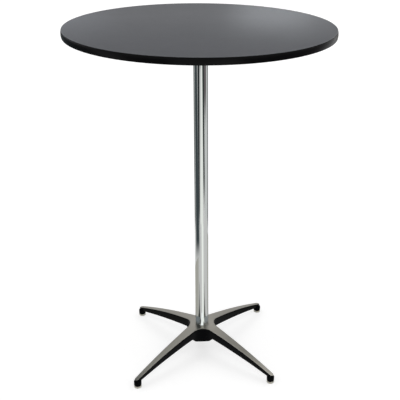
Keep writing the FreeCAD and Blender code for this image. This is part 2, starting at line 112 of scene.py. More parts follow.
def applyModifier(piece, kind, **settings):
    pickOnly(piece)
    made = piece.modifiers.new(kind.title(), kind)
    for key, value in settings.items():
        setattr(made, key, value)
    bpy.ops.object.modifier_apply(modifier=made.name)


def smoothUpTo(piece, degrees=sharp):
    pickOnly(piece)
    bpy.ops.object.shade_smooth_by_angle(angle=math.radians(degrees))


def giveFinish(piece, *finishes):
    piece.data.materials.clear()
    for finish in finishes:
        piece.data.materials.append(finish)


def standFor(piece, node, slot, *finishes, body="table"):
    # the piece takes the node's place on its body
    if finishes:
        giveFinish(piece, *finishes)
    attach(piece, body)
    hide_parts(node)


def shifted(piece, name, x=0.0, y=0.0, z=0.0, turn=0.0):
    # a copy with its own mesh, moved in its vertices so that its object stays at the origin
    copy = piece.copy()
    copy.data = piece.data.copy()
    copy.name = copy.data.name = name
    bpy.context.scene.collection.objects.link(copy)
    move = Matrix.Translation((x * mm, y * mm, z * mm)) @ Matrix.Rotation(turn, 4, "Z")
    copy.data.transform(move)
    return copy


def joined(pieces):
    startFresh()
    for piece in pieces:
        piece.select_set(True)
    bpy.context.view_layer.objects.active = pieces[0]
    bpy.ops.object.join()
    return pieces[0]


tooShort = 1e-4  # millimetres; a side of a path with no room for a rounding
mostOfSide = 0.45  # how much of a side one rounding may take


def roundedPath(corners):
    # corners are (point, rounding, steps); the same steps always give the same number of points
    points = []
    for number, (here, rounding, steps) in enumerate(corners):
        if not steps:
            points.append(here)
            continue
        back = corners[number - 1][0] - here
        on = corners[(number + 1) % len(corners)][0] - here
        if not rounding or min(back.length, on.length) < tooShort:
            points += [here] * (steps + 1)
            continue
        half = back.angle(on) / 2
        room = min(back.length, on.length) * mostOfSide
        reach = min(rounding / math.tan(half), room)
        start, end = here + back.normalized() * reach, here + on.normalized() * reach
        inward = (back.normalized() + on.normalized()).normalized()
        radius = reach * math.tan(half)
        centre = here + inward * (radius / math.sin(half))
        first, last = (start - centre).normalized(), (end - centre).normalized()
        for step in range(steps + 1):
            points.append(centre + first.slerp(last, step / steps) * radius)
    return points


def turned(name, corners, steps, sweep=fullTurn, closed=True):
    # a lathe: a circle's vertices take the section's shape, in the plane y = 0, and spin about z
    path = roundedPath([(Vector((x, 0, z)), r, s) for x, z, r, s in corners])
    startFresh()
    bpy.ops.mesh.primitive_circle_add(vertices=len(path))
    piece = newest(name)
    for vertex, point in zip(piece.data.vertices, path):
        vertex.co = point * mm
    if not closed:  # the edge between the two ends on the axis goes
        last = {0, len(path) - 1}
        cutAway(piece, "EDGE", lambda edge: set(edge.vertices) == last)
    editAll(piece)
    bpy.ops.mesh.spin(steps=steps, angle=sweep, center=(0, 0, 0), axis=(0, 0, 1))
    leaveEditMode()
    mergeAndFaceOut(piece)
    return piece


class Wire:
    # a socket in a node tree; sums, differences and products of wires add Math nodes
    def __init__(self, owner, socket):
        self.owner = owner
        self.socket = socket

    def combine(self, operation, first, second):
        return self.owner.node("ShaderNodeMath", {"operation": operation}, {0: first, 1: second})

    def __add__(self, other):
        return self.combine("ADD", self, other)

    def __radd__(self, other):
        return self.combine("ADD", other, self)

    def __rsub__(self, other):
        return self.combine("SUBTRACT", other, self)

    def __mul__(self, other):
        return self.combine("MULTIPLY", self, other)


class NodeTree:
    # the nodes of a material or world; "end" is the node that fix and feed set
    def __init__(self, holder, end):
        holder.use_nodes = True
        self.tree = holder.node_tree
        self.end = self.tree.nodes[end]

    def node(self, kind, settings, inputs, output=0):
        made = self.tree.nodes.new(kind)
        for key, value in settings.items():
            if key == "stops":
                for element, (place, grey) in zip(made.color_ramp.elements, value):
                    element.position = place
                    element.color = (grey, grey, grey, 1)
            else:
                setattr(made, key, value)
        for key, value in inputs.items():
            if isinstance(value, Wire):
                self.tree.links.new(value.socket, made.inputs[key])
            else:
                made.inputs[key].default_value = value
        return Wire(self, made.outputs[output])

    def fix(self, **values):
        for key, value in values.items():
            self.end.inputs[key.replace("_", " ")].default_value = value

    def feed(self, socket, wire):
        self.tree.links.new(wire.socket, self.end.inputs[socket])


class Finish(NodeTree):
    # a procedural material on one Principled shader, varied between its two finishColours
    def __init__(self, name, **fixed):
        self.material = bpy.data.materials.new(name)
        super().__init__(self.material, "Principled BSDF")
        self.colours = finishColours[name]
        self.material.diffuse_color = (*self.colours[0], 1)
        self.fix(Base_Color=(*self.colours[0], 1), **fixed)

    def place(self, stretch=(1, 1, 1), source="Object"):
        where = self.node("ShaderNodeTexCoord", {}, {}, source)
        return self.node("ShaderNodeMapping", {}, {"Vector": where, "Scale": stretch})

    def grain(self, size, detail, stretch=(1, 1, 1), source="Object"):
        # a noise whose lumps are about this size in millimetres, from 0 to 1
        inputs = {"Vector": self.place(stretch, source), "Scale": 1 / (size * mm), "Detail": detail}
        return self.node("ShaderNodeTexNoise", {}, inputs)

    def cells(self, size):
        # the distance from the middle of the nearest chip
        inputs = {"Vector": self.place(), "Scale": 1 / (size * mm)}
        return self.node("ShaderNodeTexVoronoi", {}, inputs, "Distance")

    def steps(self, value, *stops):
        return self.node("ShaderNodeValToRGB", {"stops": stops}, {"Fac": value})

    def blendOf(self, amount, first, second):
        # two colours, or wires that carry colours
        ends = [value if isinstance(value, Wire) else (*value, 1) for value in (first, second)]
        inputs = {0: amount, 6: ends[0], 7: ends[1]}
        return self.node("ShaderNodeMix", {"data_type": "RGBA"}, inputs, 2)

    def tinted(self, amount):
        return self.blendOf(amount, *self.colours)

    def filled(self, colour, roughness, height, depth, strength=1.0):
        # with the height as a bump, its depth in millimetres
        inputs = {"Height": height, "Distance": depth * mm, "Strength": strength}
        self.feed("Base Color", colour)
        self.feed("Roughness", roughness)
        self.feed("Normal", self.node("ShaderNodeBump", {}, inputs))
        return self.material


finishColours = {  # two for each finish to vary between; the last two are single
    "laminate_black_textured": ((0.088, 0.092, 0.101), (0.116, 0.120, 0.131)),
    "moulding_black_plastic": ((0.004, 0.004, 0.0045), (0.008, 0.008, 0.0085)),
    "chrome_bright": ((0.525, 0.538, 0.527), (0.565, 0.578, 0.567)),
    "aluminium_polished": ((0.35, 0.335, 0.30), (0.40, 0.385, 0.345)),
    "paint_black_gloss": ((0.002, 0.0024, 0.003), (0.004, 0.0045, 0.0055)),
    "steel_zinc_plated": ((0.56, 0.57, 0.58), (0.66, 0.64, 0.56)),
    "casting_powder_coat": ((0.018, 0.018, 0.019), (0.030, 0.030, 0.031)),
    "backer_phenolic": ((0.032, 0.026, 0.021), (0.052, 0.042, 0.033)),
    "board_wood_chips": ((0.36, 0.25, 0.15), (0.62, 0.49, 0.34)),
    "nylon_natural": ((0.84, 0.82, 0.73), (0.74, 0.72, 0.62)),
    "backerFibre": (0.09, 0.075, 0.06),
    "boardDust": (0.44, 0.32, 0.2),
}


def makeLaminate():
    f = Finish("laminate_black_textured", Specular_IOR_Level=0.12)
    pebble, mottle, drift = f.grain(0.9, 3), f.grain(9, 3), f.grain(90, 2)
    colour = f.tinted(drift * 0.4 + mottle * 0.6)
    return f.filled(colour, 0.45 + pebble * 0.10, pebble, depth=0.035)


def makeMoulding():
    f = Finish("moulding_black_plastic", Specular_IOR_Level=0.06)
    lines = f.grain(1.4, 2, stretch=(0.02, 0.02, 1))  # drawn lines run round the rim
    haze = f.grain(60, 3)
    return f.filled(f.tinted(haze), 0.20 + haze * 0.10, lines, depth=0.02, strength=0.5)


def makeChrome():
    f = Finish("chrome_bright", Metallic=1.0)
    haze, polish = f.grain(25, 3, stretch=(1, 1, 0.25)), f.grain(0.6, 2, stretch=(1, 1, 0.04))
    return f.filled(f.tinted(haze), 0.045 + haze * 0.035, polish, depth=0.003, strength=0.4)


def makeAluminium():
    f = Finish("aluminium_polished", Metallic=1.0)
    lines = f.grain(0.5, 3, stretch=(0.03, 1, 1), source="UV")  # polishing lines along each leg
    cloud = f.grain(28, 4, source="UV")
    roughness = 0.24 + cloud * 0.08 + lines * 0.05
    return f.filled(f.tinted(cloud), roughness, lines, depth=0.006, strength=0.5)


def makePaint():
    f = Finish("paint_black_gloss", Specular_IOR_Level=0.025)
    peel, drift = f.grain(2.2, 2), f.grain(40, 2)
    return f.filled(f.tinted(drift), 0.13 + drift * 0.08, peel, depth=0.012, strength=0.6)


def makeZinc():
    f = Finish("steel_zinc_plated", Metallic=1.0)
    spangle, cloud = f.grain(1.2, 3), f.grain(9, 2)
    return f.filled(f.tinted(cloud), 0.27 + spangle * 0.14, spangle, depth=0.008, strength=0.5)


def makePowderCoat():
    f = Finish("casting_powder_coat", IOR=1.5)
    sand, orange = f.grain(3.0, 4), f.grain(0.8, 2)
    bumps = sand * 0.8 + orange * 0.2
    return f.filled(f.tinted(sand), 0.45 + orange * 0.14, bumps, depth=0.16, strength=0.7)


def makeBacker():
    f = Finish("backer_phenolic", IOR=1.5)
    fibre, cloud = f.grain(2.5, 4, stretch=(0.25, 1, 1)), f.grain(55, 3)
    colour = f.blendOf(fibre * 0.35, f.tinted(cloud), finishColours["backerFibre"])
    return f.filled(colour, 0.48 + fibre * 0.16, fibre, depth=0.03, strength=0.5)


def makeBoard():
    f = Finish("board_wood_chips")
    chip, dust = f.cells(3.2), f.grain(1.0, 3)
    chips = f.tinted(f.steps(chip, (0.1, 0), (0.9, 1)))
    colour = f.blendOf(dust * 0.5, chips, finishColours["boardDust"])
    return f.filled(colour, 0.78 + dust * 0.15, chip, depth=0.25, strength=0.6)


def makeNylon():
    f = Finish("nylon_natural", IOR=1.53, Subsurface_Weight=0.35)
    f.fix(Subsurface_Radius=(0.004, 0.0035, 0.003))
    scuff = f.grain(1.5, 4)
    return f.filled(f.tinted(scuff * 0.6), 0.38 + scuff * 0.2, scuff, depth=0.02, strength=0.5)


laminateFinish, mouldingFinish, chromeFinish = makeLaminate(), makeMoulding(), makeChrome()
aluminiumFinish, paintFinish, zincFinish = makeAluminium(), makePaint(), makeZinc()
powderFinish, backerFinish, boardFinish = makePowderCoat(), makeBacker(), makeBoard()
nylonFinish = makeNylon()
print("finishes ready")

board = {
    "radius": 381.0,
    "gap": 0.08,  # the hairline between the laminate and the moulding
    "top": 1067.0,
    "bottom": 1048.0,
    "laminate": 0.8,
    "backer": 0.6,
    "eased": 0.25,
    "sides": 256,
    "sharp": 30,
}


def boardSheet(name, low, high):
    # a full disc, its edges eased by a bevel
    startFresh()
    bpy.ops.mesh.primitive_circle_add(
        vertices=board["sides"],
        radius=(board["radius"] - board["gap"]) * mm,
        fill_type="NGON",
        location=(0, 0, low * mm),
    )
    sheet = newest(name)
    editAll(sheet)
    bpy.ops.mesh.extrude_region_move(TRANSFORM_OT_translate={"value": (0, 0, (high - low) * mm)})
    leaveEditMode()
    pickOnly(sheet)
    bpy.ops.object.transform_apply(location=True, rotation=True, scale=True)
    mergeAndFaceOut(sheet)
    mesh = sheet.data

    def onRim(edge):
        a, b = (mesh.vertices[i].co for i in edge.vertices)
        return abs(a.z - b.z) < level

    choose(sheet, "EDGE", onRim)
    bpy.ops.mesh.bevel(offset=board["eased"] * mm, segments=2)
    leaveEditMode()
    smoothUpTo(sheet, board["sharp"])
    return sheet


topSheet = boardSheet("laminate_sheet", board["top"] - board["laminate"], board["top"])
standFor(topSheet, "top_laminate", "laminate", laminateFinish)

underSheet = boardSheet("backer_sheet", board["bottom"], board["bottom"] + board["backer"])
standFor(underSheet, "top_backer", "backer", backerFinish)

giveFinish(nodes["top_core"], boardFinish)
print("board ready")

moulding = {
    "thick": 1.6,
    "eased": 1.5,
    "crown": 34.0,
    "tangLength": 8.6,
    "tangHalf": 0.65,
    "barbHalf": 1.1,
    "barbLength": 4.5,
    "tangMiddle": 1057.4,
    "seam": 0.05,  # degrees, the butt joint at the back
    "standOff": 0.02,  # the face's back edges clear the board by this
    "faceRows": 4,  # above and below the middle of the face
    "steps": 300,
}


def makeEdgeMoulding():
    m, inner = moulding, board["radius"]
    low, high = board["bottom"], board["top"]
    half = (high - low) / 2

    def dropAt(z):
        return m["crown"] - math.sqrt(m["crown"] ** 2 - z**2)

    middle, outer = (low + high) / 2, inner + m["thick"] + dropAt(half - m["eased"])
    face = []
    for row in range(-m["faceRows"], m["faceRows"] + 1):  # crowned, the middle furthest out
        z = half * row / m["faceRows"]
        rounding = (m["eased"], 6) if abs(row) == m["faceRows"] else (0, 0)
        face.append((outer - dropAt(z), middle + z, *rounding))
    tip = inner - m["tangLength"]
    barb = tip + m["barbLength"]
    at, tang, point = m["tangMiddle"], m["tangHalf"], m["barbHalf"]
    corners = [
        (inner + m["standOff"], low, 0.15, 2),
        *face,
        (inner + m["standOff"], high, 0.15, 2),
        (inner, at + tang, 0.3, 2),
        (barb, at + tang, 0.2, 2),
        (barb, at + point, 0.1, 1),
        (tip, at, 0.2, 2),
        (barb, at - point, 0.1, 1),
        (barb, at - tang, 0.2, 2),
        (inner, at - tang, 0.3, 2),
    ]
    strip = turned("edge_strip", corners, m["steps"], fullTurn - math.radians(m["seam"]))
    turn = math.radians(90 + m["seam"] / 2)
    strip.data.transform(Matrix.Rotation(turn, 4, "Z"))
    ends = {"first": [], "last": []}
    chooseOpenEdges(strip)
    leaveEditMode()
    for edge in strip.data.edges:
        if edge.select:
            side = "first" if strip.data.vertices[edge.vertices[0]].co.x < 0 else "last"
            ends[side].append(edge.index)
    for side in ends.values():  # each cut end of the strip is closed with a face
        mine = set(side)
        choose(strip, "EDGE", lambda edge: edge.index in mine)
        bpy.ops.mesh.edge_face_add()
        leaveEditMode()
    mergeAndFaceOut(strip)
    smoothUpTo(strip, board["sharp"])
    return strip


edgeStrip = makeEdgeMoulding()
standFor(edgeStrip, "edge_moulding", "moulding", mouldingFinish)
print("edge moulding ready")

column = {
    "radius": 21.2,
    "wall": 1.5,
    "low": 94.0,
    "high": 1042.0,
    "eased": 0.35,
    "steps": 128,
}


def makeTube():
    c = column
    inside, ease = c["radius"] - c["wall"], c["eased"]
    corners = [
        (c["radius"], c["low"], ease, 3),
        (c["radius"], c["high"], ease, 3),
        (inside, c["high"], ease, 3),
        (inside, c["low"], ease, 3),
    ]
    tube = turned("column_pipe", corners, c["steps"])
    smoothUpTo(tube)
    return tube


standFor(makeTube(), "column_tube", "column", chromeFinish)


thread = {
    "steps": 28,  # round one turn
    "rootFlat": 0.12,  # the share of the pitch at each side of a root
    "crest": 0.5,
    "sharp": 25,
}


def threadedBar(name, radius, pitch, turns, depth, low):
    # one turn of a thread's profile, wound up by a Screw modifier and closed at both ends
    root, flat = radius - depth, thread["rootFlat"]
    startFresh()
    bpy.ops.mesh.primitive_circle_add(vertices=4)
    bar = newest(name)
    profile = [(root, 0), (root, flat), (radius, thread["crest"]), (root, 1 - flat)]
    for vertex, (x, z) in zip(bar.data.vertices, profile):
        vertex.co = (x * mm, 0, (low + z * pitch) * mm)
    loop = {0, 3}
    cutAway(bar, "EDGE", lambda edge: set(edge.vertices) == loop)
    choose(bar, "VERT", lambda vertex: vertex.index == 3)
    bpy.ops.mesh.extrude_region_move(TRANSFORM_OT_translate={"value": (0, 0, flat * pitch * mm)})
    leaveEditMode()
    applyModifier(
        bar,
        "SCREW",
        steps=thread["steps"],
        render_steps=thread["steps"],
        iterations=turns,
        screw_offset=pitch * mm,
        use_merge_vertices=False,
        use_smooth_shade=False,
    )
    mergeAndFaceOut(bar)
    chooseOpenEdges(bar)
    bpy.ops.mesh.fill_holes(sides=0)
    leaveEditMode()
    mergeAndFaceOut(bar)
    return bar


tieRod = {
    "radius": 5.0,
    "pitch": 1.5,
    "threadDepth": 0.75,
    "threadTurns": 20,
}


def makeTieRod():
    r = tieRod
    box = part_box("tie_rod")
    low, high = box[0].z / mm, box[1].z / mm
    length = r["pitch"] * (r["threadTurns"] + 1)
    overlap = r["pitch"]  # the shank reaches this far into each threaded end
    shankEnds = low + length - overlap, high - length + overlap
    corners = [
        (0, shankEnds[0], 0, 0),
        (r["radius"], shankEnds[0], 0.4, 2),
        (r["radius"], shankEnds[1], 0.4, 2),
        (0, shankEnds[1], 0, 0),
    ]
    shank = turned("tie_bolt", corners, 40, closed=False)
    measures = (r["radius"], r["pitch"], r["threadTurns"], r["threadDepth"])
    bottom = threadedBar("rod_thread", *measures, low)
    top = shifted(bottom, "rod_thread_top", z=high - length - low)
    rod = joined([shank, bottom, top])
    smoothUpTo(rod, thread["sharp"])
    return rod


standFor(makeTieRod(), "tie_rod", "steel", zincFinish)

washers = {"radius": 10.0, "hole": 5.5, "thick": 2.0, "lower": 48.0, "eased": 0.35, "burr": 0.2}


def makeWashers():
    w = washers
    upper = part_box("rod_washers")[1].z / mm - w["thick"]
    corners = [
        (w["hole"], 0, w["burr"], 2),
        (w["radius"], 0, w["eased"], 3),
        (w["radius"], w["thick"], w["eased"], 3),
        (w["hole"], w["thick"], w["burr"], 2),
    ]
    ring = turned("washer_pair", corners, 48)
    ring.data.transform(Matrix.Translation((0, 0, w["lower"] * mm)))
    pair = joined([ring, shifted(ring, "upper_washer", z=upper - w["lower"])])
    smoothUpTo(pair)
    return pair


standFor(makeWashers(), "rod_washers", "steel", zincFinish)

softened = {
    "flat": 1.0,  # degrees; faces nearer to level with each other than this become one
    "sharp": 32,  # degrees; a steeper edge than this is eased
    "nutEdge": 0.25,
    "plateEdge": 0.8,
}


def softenedCopy(nodeName, name, edge, segments=2):
    # the CAD node's own shape with its doubles merged, flat faces made whole and its edges eased
    copy = nodes[nodeName].copy()
    copy.data = nodes[nodeName].data.copy()
    copy.parent = None
    for key in list(copy.keys()):
        del copy[key]
    copy.name = copy.data.name = name
    bpy.context.scene.collection.objects.link(copy)
    editAll(copy)
    bpy.ops.mesh.remove_doubles(threshold=sameSpot * mm)
    bpy.ops.mesh.dissolve_limited(angle_limit=math.radians(softened["flat"]))
    leaveEditMode()
    applyModifier(
        copy,
        "BEVEL",
        width=edge * mm,
        segments=segments,
        limit_method="ANGLE",
        angle_limit=math.radians(softened["sharp"]),
        use_clamp_overlap=True,
    )
    smoothUpTo(copy, softened["sharp"])
    return copy


nutPair = softenedCopy("rod_nuts", "nut_pair", softened["nutEdge"])
standFor(nutPair, "rod_nuts", "steel", zincFinish)
print("column and rod ready")

mountingPlate = softenedCopy("top_plate", "cast_plate", softened["plateEdge"], 3)
standFor(mountingPlate, "top_plate", "plate", powderFinish)

screw = {
    "headRadius": 4.4,
    "headHeight": 3.0,
    "headTop": 0.62,  # the flat top's share of the head's radius
    "headTopEdge": 0.12,
    "flange": 1.1,
    "flangeSlope": 0.1,
    "shank": 2.1,
    "seat": 1042.0,
    "tip": 1061.6,
    "point": 5.0,
    "reaches": (113.0, 136.0),
    "recess": 1.9,
    "recessWidth": 0.95,
    "recessDepth": 1.6,
    "recessTaper": 0.55,
    "bladeHalf": 2.0,
    "twists": (0.7, 1.9),  # radians from one arm and one screw to the next; no two stand alike
}


def makeScrew():
    s = screw
    low = s["seat"] - s["headHeight"]
    corners = [
        (0, low, 0, 0),
        (s["headRadius"] * s["headTop"], low + s["headTopEdge"], 1.2, 3),
        (s["headRadius"] - s["flangeSlope"], s["seat"] - s["flange"], 0.8, 3),
        (s["headRadius"], s["seat"], 0.15, 2),
        (s["shank"], s["seat"], 0, 0),
        (s["shank"], s["tip"] - s["point"], 0, 0),
        (0, s["tip"], 0, 0),
    ]
    body = turned("wood_screw", corners, 32, closed=False)
    startFresh()
    bpy.ops.mesh.primitive_cube_add(size=1)
    cross = newest("cross_cutter")
    size = (s["recess"] * 2 * mm, s["recessWidth"] * mm, s["bladeHalf"] * 2 * mm, 1)
    cross.data.transform(Matrix.Diagonal(size))
    other = shifted(cross, "cross_cutter_other", turn=math.radians(90))
    depth = (low + s["recessDepth"] - s["bladeHalf"]) * mm
    for blade in (cross, other):
        blade.data.transform(Matrix.Translation((0, 0, depth)))
        for vertex in blade.data.vertices:  # each blade narrows towards its bottom
            if vertex.co.z > low * mm:
                vertex.co.x *= s["recessTaper"]
                vertex.co.y *= s["recessTaper"]
        applyModifier(body, "BOOLEAN", operation="DIFFERENCE", object=blade, solver="EXACT")
        bpy.data.objects.remove(blade)
    return body


def makeScrews():
    one = makeScrew()
    copies = []
    perArm, perScrew = screw["twists"]
    for quarter in range(4):
        arm = math.radians(45 + 90 * quarter)
        for number, reach in enumerate(screw["reaches"]):
            turn = perArm * quarter + perScrew * number
            where = (reach * math.cos(arm), reach * math.sin(arm))
            copies.append(shifted(one, f"screw_{quarter}_{number}", *where, turn=turn))
    bpy.data.objects.remove(one)
    together = joined(copies)
    together.name = together.data.name = "plate_screw_set"
    smoothUpTo(together)
    return together


standFor(makeScrews(), "plate_screws", "steel", zincFinish)
print("plate and screws ready")

base = {
    "hubHeight": 94.0,
    "flatReach": 28.0,
    "shoulderRadius": 165.0,
    "shoulderAngle": 9.5,
    "crownRadius": 1490.0,
    "draft": 6.5,
    "centreHalf": 19.5,
    "rootHalf": 16.8,
    "rootReach": 60.0,
    "waistRadius": 4200.0,
    "neckAngle": 1.0,
    "noseReach": 294.3,
    "noseRadius": 13.9,
    "tipReach": 291.3,
    "forkRadius": 38.0,
    "hubBottom": 33.4,
    "domeReach": 45.0,
    "domeEdge": 44.5,
    "archStart": 57.5,
    "archAtHub": 59.2,
    "archAtTip": 13.6,
    "archReach": 310.0,
    "archRadius": 2630.0,
    "spigotRadius": 19.6,
    "spigotTop": 108.0,
    "spigotBevel": 1.0,
    "bossRadius": 22.0,
    "counterbore": 14.0,
    "counterboreTop": 50.0,
    "rodHole": 5.5,
    "skin": 6.5,
    "hollowRadius": 30.0,
    "hollowDraft": 1.5,
    "channelHalf": 8.4,
    "channelEndHalf": 3.6,
    "channelReach": 196.0,
    "hollowTipTop": 42.0,
    "webReach": 114.0,
    "webThick": 4.0,
    "webBottom": 56.0,
    "webEdge": 1.4,
    "webSink": 1.0,  # how far a web runs up into the skin
    "topEdge": 1.6,  # roundings
    "noseEdge": 2.6,
    "lowEdge": 1.6,
    "rimEdge": 0.9,
    "rootFillet": 3.0,
    "weld": 0.004,  # points of the legs nearer than this are one
    "sharp": 34,
}

legGrid = {  # rows of points from the fork to the nose, and shares along each row
    "hubRows": 16,
    "rootRows": 12,
    "evenReach": 112.0,  # where the middle line and the hollow draw level with the outside
    "evenPower": 0.8,
    "channelRows": 9,
    "roofRoom": 3.6,  # between the hub's boss and the first point of the channel's roof
    "capRows": 6,
    "capLength": 9.0,
    "capRoof": 0.9,
    "tipRows": 14,
    "noseRows": 14,
    "noseSpread": 3.0,  # how far the nose's points fan out on the middle line
    "noseBack": 0.2,
    "mouthSwing": 1.04,
    "topShares": (0, 0.12, 0.24, 0.36, 0.48, 0.58, 0.66, 0.72),
    "sideShares": (0.3, 0.6),
    "underShares": (0.2, 0.5, 0.8),
    "rimShares": (0.2, 0.5, 0.8, 0.93),
    "roofShares": (0.4, 0.7, 0.9),
    "settling": 12,  # rounds in which a drafted wall finds the surface it ends on
    "polished": 10,  # columns up to half way round the top edge; the rest are painted
}


def crownHeight(x):
    b = base
    bend = math.radians(b["shoulderAngle"])
    x1 = b["flatReach"] + b["shoulderRadius"] * math.sin(bend)
    z1 = b["hubHeight"] - b["shoulderRadius"] * (1 - math.cos(bend))
    if x <= b["flatReach"]:
        return b["hubHeight"]
    if x <= x1:
        drop = b["shoulderRadius"] - math.sqrt(b["shoulderRadius"] ** 2 - (x - b["flatReach"]) ** 2)
        return b["hubHeight"] - drop
    far = x - x1 + b["crownRadius"] * math.sin(bend)
    return z1 - b["crownRadius"] * math.cos(bend) + math.sqrt(b["crownRadius"] ** 2 - far**2)


def arcCentre(start, end, radius, side):
    # side is 1 where the centre lies to the left of the way from start to end
    along = end - start
    across = Vector((-along.y, along.x)).normalized() * side
    return (start + end) / 2 + across * math.sqrt(radius**2 - (along.length / 2) ** 2)


archStart = Vector((base["archStart"], base["archAtHub"]))
archEnd = Vector((base["archReach"], base["archAtTip"]))
archMiddle = arcCentre(archStart, archEnd, base["archRadius"], -1)
domeRise = base["domeEdge"] - base["hubBottom"]
domeRadius = (base["domeReach"] ** 2 + domeRise**2) / (2 * domeRise)


def underHeight(reach):
    # a dome under the hub, a steep bevel at its rim, then the arch along the leg
    b = base
    if reach < b["domeReach"]:
        return b["hubBottom"] + domeRadius - math.sqrt(domeRadius**2 - reach**2)
    if reach < b["archStart"]:
        share = (reach - b["domeReach"]) / (b["archStart"] - b["domeReach"])
        return b["domeEdge"] + (b["archAtHub"] - b["domeEdge"]) * share
    if reach > b["archReach"]:
        return b["archAtTip"]
    return archMiddle.y + math.sqrt(b["archRadius"] ** 2 - (reach - archMiddle.x) ** 2)


def roofHeight(reach):
    b = base
    top = b["hubHeight"] - b["skin"]
    end = b["channelReach"] + b["channelEndHalf"]
    share = (reach - b["hollowRadius"]) / (end - b["hollowRadius"])
    return top - (top - b["hollowTipTop"]) * min(max(share, 0), 1)


def spread(start, end, count):
    return [start + (end - start) * step / count for step in range(1, count + 1)]


def heading(degrees):
    angle = math.radians(degrees)
    return Vector((math.cos(angle), math.sin(angle)))


def legStations():
    # From the fork between two legs to the tip of the nose. Each station holds the outside at hub
    # height, how that moves for each millimetre of draft, its place on the leg's middle line, and
    # the hollow's edge with how it moves for each millimetre of the hollow's draft.
    b, g = base, legGrid
    slope = (b["centreHalf"] - b["rootHalf"]) / b["rootReach"]
    skew = math.hypot(1, slope)
    fork = (b["centreHalf"] + b["forkRadius"] * skew) / (1 + slope)
    forkCentre = Vector((fork, fork))
    forkMove = Vector((-1, -1)) * skew / (1 + slope)
    sideAngle = math.degrees(math.atan2(1, slope))
    channelSlope = (b["channelHalf"] - b["channelEndHalf"]) / b["channelReach"]
    mouth = math.degrees(math.asin(b["channelHalf"] / b["hollowRadius"]))
    stations = []

    def add(*values):
        names = ("edge", "move", "middle", "rim", "rimMove", "roofX", "stage")
        stations.append(dict(zip(names, values)))

    def channelRim(x):
        return Vector((x, b["channelHalf"] - channelSlope * x))

    channelMove = -Vector((channelSlope, 1)).normalized()
    for step in range(g["hubRows"] + 1):  # the fork, round the hub
        share = step / g["hubRows"]
        edge = forkCentre + heading(225 + (sideAngle - 45) * share) * b["forkRadius"]
        spoke = heading(45 * (1 - share))
        ring = heading(45 + (mouth - 45) * min(share * g["mouthSwing"], 1))
        rim, rimMove = ring * b["hollowRadius"], -ring
        add(edge, forkMove, spoke, rim, rimMove, None, "hub")
    straightStart = forkCentre - heading(sideAngle) * b["forkRadius"]
    nose = Vector((b["noseReach"], 0))
    noseStart = nose + heading(90 + b["neckAngle"]) * b["noseRadius"]
    centre = arcCentre(Vector((b["rootReach"], b["rootHalf"])), noseStart, b["waistRadius"], 1)
    rimStart = b["hollowRadius"] * math.cos(math.radians(mouth))

    def outside(x):
        if x <= b["rootReach"]:
            return Vector((x, b["centreHalf"] - slope * x)), -heading(sideAngle)
        point = Vector((x, centre.y - math.sqrt(b["waistRadius"] ** 2 - (x - centre.x) ** 2)))
        return point, (point - centre).normalized()

    even = g["evenReach"]

    def catchUp(x, start):  # the middle line and the rim start behind the outside
        share = (x - straightStart.x) / (even - straightStart.x)
        return start + (even - start) * share ** g["evenPower"] if share < 1 else x

    root = spread(straightStart.x, even, g["rootRows"])
    for x in root + spread(even, b["channelReach"], g["channelRows"]):
        rim = channelRim(catchUp(x, rimStart))
        roofX = catchUp(x, b["bossRadius"] + g["roofRoom"])
        add(*outside(x), catchUp(x, b["spigotRadius"]), rim, channelMove, roofX, "channel")
    capCentre = Vector((b["channelReach"], 0))
    capTip = b["channelReach"] + g["capLength"]
    for step, x in enumerate(spread(b["channelReach"], capTip, g["capRows"]), start=1):
        share = step / g["capRows"]
        ray = heading(90 * (1 - share))
        rim = capCentre + ray * b["channelEndHalf"]
        stage = "cap" if share < 1 else "capEnd"
        add(*outside(x), x, rim, -ray, b["channelReach"] + share, stage)
    for x in spread(capTip, noseStart.x, g["tipRows"]):
        add(*outside(x), x, None, None, None, "solid")
    for step in range(1, g["noseRows"] + 1):
        share = step / g["noseRows"]
        ray = heading((90 + b["neckAngle"]) * (1 - share))
        add(nose + ray * b["noseRadius"], -ray, None, None, None, share, "nose")
    return stations


